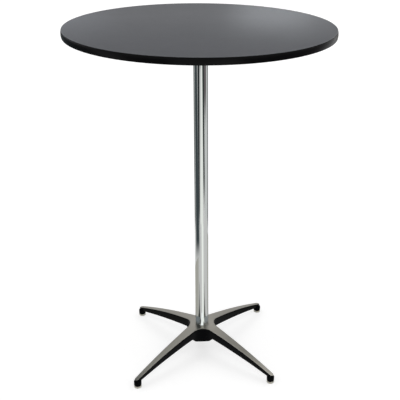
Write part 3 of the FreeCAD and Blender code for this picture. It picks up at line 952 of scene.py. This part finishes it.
def baseRow(station):
    # one profile of the casting: over the top, down the side, along the rim, up into the hollow
    b, g = base, legGrid
    draft, hollowDraft = (math.tan(math.radians(b[name])) for name in ("draft", "hollowDraft"))
    edge, move, stage = station["edge"], station["move"], station["stage"]

    def outsideAt(z):
        return edge + move * (b["hubHeight"] - z) * draft

    high = low = b["hubHeight"] / 2
    for _ in range(g["settling"]):
        high = crownHeight(outsideAt(high).x)
        low = underHeight(outsideAt(low).length)
    topEdge, lowEdge = outsideAt(high), outsideAt(low)
    if stage == "hub":
        middle = station["middle"] * b["spigotRadius"]
    elif stage == "nose":
        fan = station["roofX"] * g["noseSpread"]
        middle = Vector((b["noseReach"] - g["noseBack"] + fan, 0))
    else:
        middle = Vector((station["middle"], 0))
    corners = []

    def add(at, z, rounding=0.0, steps=0):
        corners.append((Vector((at.x, at.y, z)), rounding, steps))

    def addUnder(end, shares):
        for share in shares:
            at = lowEdge.lerp(end, share)
            add(at, underHeight(at.length))

    for share in g["topShares"]:
        at = middle.lerp(topEdge, share)
        add(at, crownHeight(at.x))
    add(topEdge, high, b["noseEdge" if stage == "nose" else "topEdge"], 4)
    for share in g["sideShares"]:
        z = high + (low - high) * share
        add(outsideAt(z), z)
    add(lowEdge, low, b["lowEdge"], 4)
    if stage in ("solid", "nose"):
        addUnder(middle, g["underShares"])
        add(middle, underHeight(middle.length))
        return roundedPath(corners)

    def rimAt(z):
        return station["rim"] + station["rimMove"] * z * hollowDraft

    rimZ = roofZ = b["archAtHub"]
    for _ in range(g["settling"]):
        rimZ = underHeight(rimAt(rimZ).length)
        roofZ = roofHeight(rimAt(roofZ).length)
    rimPoint, roofPoint = rimAt(rimZ), rimAt(roofZ)
    addUnder(rimPoint, g["rimShares"])
    add(rimPoint, rimZ, b["rimEdge"], 3)
    wallZ = (rimZ + roofZ) / 2
    add(rimAt(wallZ), wallZ)
    add(roofPoint, roofZ, b["rootFillet"], 4)
    if stage == "hub":
        inner = station["middle"] * b["bossRadius"]
    elif stage == "channel":
        inner = Vector((station["roofX"], 0))
    elif stage == "cap":
        share = station["roofX"] - b["channelReach"]
        start = b["channelReach"]
        inner = Vector((start + (roofPoint.x - start) * share * g["capRoof"], 0))
    else:
        inner = roofPoint.copy()
    for share in g["roofShares"]:
        at = roofPoint.lerp(inner, share)
        add(at, roofHeight(at.length))
    innerZ = roofHeight(inner.length)
    if stage != "hub":
        add(inner, innerZ)
        return roundedPath(corners)

    def addSpoke(reach, z, rounding=0.0, steps=0):
        add(station["middle"] * reach, z, rounding, steps)

    bossFoot, boreFoot = underHeight(b["bossRadius"]), underHeight(b["counterbore"])
    add(inner, innerZ, b["rootFillet"], 4)
    addSpoke(b["bossRadius"], (bossFoot + innerZ) / 2)
    addSpoke(b["bossRadius"], bossFoot, b["rimEdge"], 3)
    addSpoke(b["counterbore"], boreFoot, b["rimEdge"], 3)
    addSpoke(b["counterbore"], b["counterboreTop"], 0.5, 3)
    addSpoke(b["rodHole"], b["counterboreTop"], 0.3, 1)
    addSpoke(b["rodHole"], b["spigotTop"])
    addSpoke(b["spigotRadius"] - b["spigotBevel"], b["spigotTop"])
    addSpoke(b["spigotRadius"], b["spigotTop"] - b["spigotBevel"])
    addSpoke(b["spigotRadius"], b["hubHeight"])
    return roundedPath(corners)


def makeHalfLeg():
    rows = [baseRow(station) for station in legStations()]
    wide, deep = len(rows), max(len(row) for row in rows)
    for row in rows:  # a shorter row ends in copies of its last point, which are merged below
        row += [row[-1]] * (deep - len(row))
    startFresh()
    bpy.ops.mesh.primitive_grid_add(x_subdivisions=wide - 1, y_subdivisions=deep - 1, size=2)
    piece = newest("base_legs")
    giveFinish(piece, aluminiumFinish, paintFinish)
    mesh = piece.data
    columnOf = []
    for vertex in mesh.vertices:
        row = round((vertex.co.x + 1) / 2 * (wide - 1))
        line = round((vertex.co.y + 1) / 2 * (deep - 1))
        vertex.co = rows[row][line] * mm
        columnOf.append(line)
    for face in mesh.polygons:
        painted = max(columnOf[i] for i in face.vertices) > legGrid["polished"]
        face.material_index = int(painted)
    flat = mesh.uv_layers.active.data
    for loop in mesh.loops:  # the finish runs along and across the leg
        at = mesh.vertices[loop.vertex_index].co
        flat[loop.index].uv = (at.x, at.y)
    mergeAndFaceOut(piece, base["weld"])

    def inMiddlePlane(face):
        return all(abs(mesh.vertices[i].co.y) < level for i in face.vertices)

    cutAway(piece, "FACE", inMiddlePlane)
    return piece


def makeWebs():
    # a cross rib in each leg's channel
    b = base
    half = b["channelHalf"]
    top = roofHeight(b["webReach"]) + b["webSink"]
    startFresh()
    bpy.ops.mesh.primitive_cube_add(size=1)
    web = newest("leg_web")
    size = Matrix.Diagonal((b["webThick"] * mm, half * 2 * mm, (top - b["webBottom"]) * mm, 1))
    middle = Vector((b["webReach"], 0, (top + b["webBottom"]) / 2)) * mm
    web.data.transform(Matrix.Translation(middle) @ size)
    lowest = b["webBottom"] * mm

    def atFoot(edge):
        ends = [web.data.vertices[i].co for i in edge.vertices]
        crosswise = abs(ends[0].x - ends[1].x) < level
        return crosswise and all(abs(end.z - lowest) < level for end in ends)

    choose(web, "EDGE", atFoot)
    bpy.ops.mesh.bevel(offset=b["webEdge"] * mm, segments=4)
    leaveEditMode()
    return web


tipBoss = {
    "radius": 11.8,
    "foot": 10.6,
    "bottom": 6.6,
    "taper": 3.4,
    "shoulder": 22.0,
    "crown": 6.0,
    "crownDrop": 1.0,
    "hole": 4.05,
}


def makeTipBoss():
    t = tipBoss
    top = t["shoulder"] + t["radius"] - t["crown"]
    corners = [
        (t["hole"], t["bottom"], 0.4, 2),
        (t["foot"], t["bottom"], 0.7, 3),
        (t["radius"], t["bottom"] + t["taper"], 2.0, 4),
        (t["radius"], t["shoulder"] - t["crownDrop"], 2.4, 5),
        (t["crown"], top, 1.5, 3),
        (t["hole"], top, 0, 0),
    ]
    boss = turned("tip_boss", corners, 48)
    boss.data.transform(Matrix.Translation((base["tipReach"] * mm, 0, 0)))
    return boss


def makeBase():
    leg = makeHalfLeg()
    applyModifier(
        leg,
        "MIRROR",
        use_axis=(False, True, False),
        use_clip=True,
        merge_threshold=sameSpot * mm,
        use_mirror_merge=True,
    )
    web, boss = makeWebs(), makeTipBoss()
    for extra in (web, boss):
        giveFinish(extra, paintFinish)
    whole = joined([leg, web, boss])
    quarters = [whole]
    for quarter in range(1, 4):
        quarters.append(shifted(whole, f"leg_{quarter}", turn=math.radians(90 * quarter)))
    whole = joined(quarters)
    whole.data.transform(Matrix.Rotation(math.radians(45), 4, "Z"))
    mergeAndFaceOut(whole, base["weld"])
    whole.name = whole.data.name = "star_base"
    smoothUpTo(whole, base["sharp"])
    return whole


starBase = makeBase()
standFor(starBase, "base_casting", "base")
print("base ready:", len(starBase.data.polygons), "faces")

glide = {
    "studRadius": 4.0,
    "studTop": 25.0,
    "pitch": 1.25,
    "threadDepth": 0.62,
    "buttonRadius": 5.8,
    "buttonBottom": 2.0,
    "padRadius": 11.6,
    "padTop": 6.3,
    "padBevel": 1.2,
    "padBevelRise": 1.56,
    "socket": 5.9,
    "socketGap": 0.1,
    "neck": 1.5,  # plain part above the button
    "threadStart": 0.9,
    "corners": ((1, -1), (1, 1), (-1, 1), (-1, -1)),
}


def makeStud():
    g = glide
    corners = [
        (0, g["buttonBottom"], 0, 0),
        (g["buttonRadius"], g["buttonBottom"], 0.4, 2),
        (g["buttonRadius"], g["padTop"], 0.5, 3),
        (g["studRadius"] - g["threadDepth"], g["padTop"], 0.2, 2),
        (g["studRadius"] - g["threadDepth"], g["padTop"] + g["neck"], 0, 0),
        (0, g["padTop"] + g["neck"], 0, 0),
    ]
    button = turned("stud_button", corners, 40, closed=False)
    low = g["padTop"] + g["threadStart"]
    turns = int((g["studTop"] - low) / g["pitch"]) - 1
    measures = (g["studRadius"], g["pitch"], turns, g["threadDepth"])
    stud = joined([button, threadedBar("stud_thread", *measures, low)])
    smoothUpTo(stud, thread["sharp"])
    return stud


def makePad():
    g = glide
    low = g["buttonBottom"] - g["socketGap"]
    corners = [
        (0, 0, 0, 0),
        (g["padRadius"] - g["padBevel"], 0, 0.9, 3),
        (g["padRadius"], g["padBevelRise"], 0.8, 3),
        (g["padRadius"], g["padTop"], 0.9, 4),
        (g["socket"], g["padTop"], 0.25, 2),
        (g["socket"], low, 0.2, 2),
        (0, low, 0, 0),
    ]
    pad = turned("foot_pad", corners, 56, closed=False)
    smoothUpTo(pad)
    return pad


def makeGlides():
    stud, pad = makeStud(), makePad()
    reach = base["tipReach"] / math.sqrt(2)
    for number, (right, back) in enumerate(glide["corners"], start=1):
        where = (reach * right, reach * back)
        oneStud = shifted(stud, f"levelling_stud_{number}", *where)
        onePad = shifted(pad, f"levelling_pad_{number}", *where)
        studNode, padNode = f"glide_stud_{number}", f"glide_pad_{number}"
        standFor(oneStud, studNode, "steel", zincFinish, body=studNode)
        standFor(onePad, padNode, "glide", nylonFinish, body=padNode)
    bpy.data.objects.remove(stud)
    bpy.data.objects.remove(pad)


makeGlides()
print("glides ready")

studio = {
    "floorSize": 60.0,
    "floorTone": 0.55,
    "floorRoughness": 0.9,
    "floorGlow": 0.62,  # what the camera sees of the floor above its own shading
    "floorGlossyGlow": 0.50,
    "worldSeen": 1.0,
    "worldLight": 0.35,
    "worldGlossy": 0.60,
    "lampStrength": 0.46,
    "lampHeadings": (30, 150, 210, 330),
    "lampHeight": 3.0,
    "lampLean": 30.0,  # degrees off the vertical
    "lampSpread": 50.0,  # degrees across, for soft shadows
}
white = (1, 1, 1, 1)


def rayStrength(owner, cameraPart, glossyPart, otherPart):
    # a strength for camera and transmission rays, one for glossy rays and one for the rest
    def ray(kind):
        return owner.node("ShaderNodeLightPath", {}, {}, kind)

    either = {0: ray("Is Camera Ray"), 1: ray("Is Transmission Ray")}
    seen = owner.node("ShaderNodeMath", {"operation": "MAXIMUM"}, either)
    glossy = ray("Is Glossy Ray") * (glossyPart - otherPart)
    return seen * (cameraPart - otherPart) + glossy + otherPart


def makeFloor():
    s = studio
    startFresh()
    bpy.ops.mesh.primitive_plane_add(size=s["floorSize"], location=(0, 0, 0))
    floor = newest("studio_floor")
    material = bpy.data.materials.new("floor_pale")
    pale = NodeTree(material, "Principled BSDF")
    pale.fix(Base_Color=(*[s["floorTone"]] * 3, 1), Roughness=s["floorRoughness"])
    pale.fix(Specular_IOR_Level=0.0, Emission_Color=white)
    pale.feed("Emission Strength", rayStrength(pale, s["floorGlow"], s["floorGlossyGlow"], 0.0))
    giveFinish(floor, material)


def makeWorld():
    s = studio
    world = bpy.data.worlds.new("studio_white")
    bpy.context.scene.world = world
    sky = NodeTree(world, "Background")
    sky.fix(Color=white)
    sky.feed("Strength", rayStrength(sky, s["worldSeen"], s["worldGlossy"], s["worldLight"]))


# Curved cards round the table, seen only in reflections: each glows though it is no lamp, and
# paints a reflection, highlight or sheen onto the chrome, the metal and the laminate. A row holds
# foot, head, tone and fade; foot and head are each (distance, height, left, right), in metres from
# the column and above the floor, then in degrees from the camera's side, growing to its right. The
# fade is the share of the way from foot to head over which a card fades in.
cards = (
    # painted reflections: a dim band on the left, two dark strips and a faint one high on the right
    ((0.52, -0.02, -122, -20), (0.52, 1.05, -116, -50), (0.072, 0.092, 0.100), 0.12),
    ((0.78, 0.00, -52, -24), (0.78, 1.05, -56, -12), (0.025, 0.030, 0.034), 0.15),
    ((0.78, 0.10, 32, 66), (0.78, 1.05, 14, 52), (0.052, 0.064, 0.064), 0.25),
    ((0.80, 0.55, 28, 100), (0.80, 1.05, 28, 100), (0.200, 0.175, 0.185), 0.50),
    # a painted pale reflection on the right
    ((0.90, 0.00, 54, 122), (0.90, 1.05, 54, 122), (0.88, 0.90, 0.91), 0.05),
    # the painted bright reflection streak: upright, then lying before the column and at its foot
    ((0.85, 0.00, -25, 36), (0.85, 1.05, 3, 27), (1.34, 1.37, 1.32), 0.005),
    ((0.0225, 0.097, -2, 34), (0.85, 0.003, -6, 38), (1.42, 1.46, 1.40), 0.02),
    ((0.0214, 0.0946, -20, 17), (0.070, 0.0932, -14, 20), (1.56, 1.62, 1.62), 0.005),
    # painted soft reflections on the column's foot
    ((0.0190, 0.0946, -125, -16), (0.052, 0.0940, -125, -14), (0.27, 0.30, 0.32), 0.50),
    ((0.0190, 0.0946, 15, 125), (0.052, 0.0940, 15, 125), (0.36, 0.385, 0.39), 0.50),
    # painted reflections of the floor to the left and right
    ((0.05, 0.002, -190, -35), (0.52, 0.002, -190, -35), (0.61, 0.60, 0.55), 0.30),
    ((0.05, 0.002, 106, 174), (0.80, 0.002, 106, 174), (0.50, 0.50, 0.46), 0.30),
    # painted reflections behind the table
    ((0.70, 0.05, 112, 152), (0.70, 1.05, 110, 160), (0.150, 0.155, 0.150), 0.10),
    ((0.70, 0.05, -152, -112), (0.70, 1.05, -160, -108), (0.135, 0.155, 0.155), 0.10),
    ((0.80, 0.05, 166, 194), (0.80, 0.50, 166, 194), (0.70, 0.70, 0.70), 0.10),
    ((0.80, 0.48, 158, 196), (0.80, 1.05, 158, 196), (0.85, 0.85, 0.85), 0.20),
    # high behind, a painted sheen on the top
    ((1.00, 1.12, 150, 173), (2.00, 1.55, 150, 173), (3.35, 3.50, 3.65), 0.05),
    ((1.00, 1.12, -164, -135), (2.00, 1.55, -164, -135), (1.60, 1.70, 1.85), 0.05),
)
cardSoftness = 0.28  # the share of a card's width over which each side fades
cardStrips = 24


# a glowing card that is no lamp, a painted reflection, faded at its sides and foot and clear from
# behind
def cardMaterial(name, tone, fade):
    material = bpy.data.materials.new(name)
    card = NodeTree(material, "Material Output")

    def rise(value, start, end):
        inputs = {"Value": value, "From Min": start, "From Max": end}
        return card.node("ShaderNodeMapRange", {"interpolation_type": "SMOOTHSTEP"}, inputs)

    def along(axis):
        flat = card.node("ShaderNodeTexCoord", {}, {}, "UV")
        return card.node("ShaderNodeSeparateXYZ", {}, {0: flat}, axis)

    sides = rise(along("X"), 0, cardSoftness) * rise(along("X"), 1, 1 - cardSoftness)
    front = 1 - card.node("ShaderNodeNewGeometry", {}, {}, "Backfacing")  # clear from behind
    there = sides * rise(along("Y"), 0, fade) * front
    glow = card.node("ShaderNodeEmission", {}, {"Color": (*tone, 1)})
    clear = card.node("ShaderNodeBsdfTransparent", {}, {})
    card.feed("Surface", card.node("ShaderNodeMixShader", {}, {0: there, 1: clear, 2: glow}))
    material.cycles.emission_sampling = "NONE"
    return material


def makeCard(number, foot, head, tone, fade):
    startFresh()
    bpy.ops.mesh.primitive_grid_add(x_subdivisions=cardStrips, y_subdivisions=1, size=2)
    piece = newest(f"reflection_card_{number}")
    for vertex in piece.data.vertices:
        share, across = (vertex.co.y + 1) / 2, (1 - vertex.co.x) / 2  # facing the column
        ends = zip(foot, head)
        reach, height, left, right = (low + (high - low) * share for low, high in ends)
        side = math.radians(left + (right - left) * across)
        vertex.co = (reach * math.sin(side), -reach * math.cos(side), height)
    giveFinish(piece, cardMaterial(piece.name, tone, fade))
    piece.visible_camera = piece.visible_diffuse = piece.visible_shadow = False
    piece.visible_transmission = piece.visible_volume_scatter = False


def makeLamp(number, degrees):
    s = studio
    name = f"lamp_{number}"
    light = bpy.data.lights.new(name, "SUN")
    light.energy = s["lampStrength"]
    light.angle = math.radians(s["lampSpread"])
    holder = bpy.data.objects.new(name, light)
    bpy.context.scene.collection.objects.link(holder)
    sideways = heading(degrees) * math.tan(math.radians(s["lampLean"])) * s["lampHeight"]
    holder.location = (*sideways, s["lampHeight"])
    holder.rotation_euler = (-holder.location).to_track_quat("-Z", "Y").to_euler()


view = {
    "place": (-0.07164, -2.12879, 1.47634),
    "heading": -4.394,  # the three turns are in degrees
    "pitch": 66.18,  # up from straight down
    "roll": 0.696,
    "lens": 68.10,
    "sensor": 36,
    "shift": -0.0778,
}


def makeCamera():
    lens = bpy.data.cameras.new("view")
    holder = bpy.data.objects.new("view", lens)
    bpy.context.scene.collection.objects.link(holder)
    stand = Matrix.Translation(view["place"])
    for turn, axis in (("heading", "Z"), ("pitch", "X"), ("roll", "Z")):
        stand = stand @ Matrix.Rotation(math.radians(view[turn]), 4, axis)
    holder.matrix_world = stand
    lens.sensor_width = view["sensor"]
    lens.lens = view["lens"]
    lens.shift_x = view["shift"]
    bpy.context.scene.camera = holder


makeFloor()
makeWorld()
for number, card in enumerate(cards, start=1):
    makeCard(number, *card)
for number, degrees in enumerate(studio["lampHeadings"], start=1):
    makeLamp(number, degrees)
makeCamera()
bpy.context.scene.view_settings.view_transform = "Standard"
print("studio ready")

leaveEditMode()
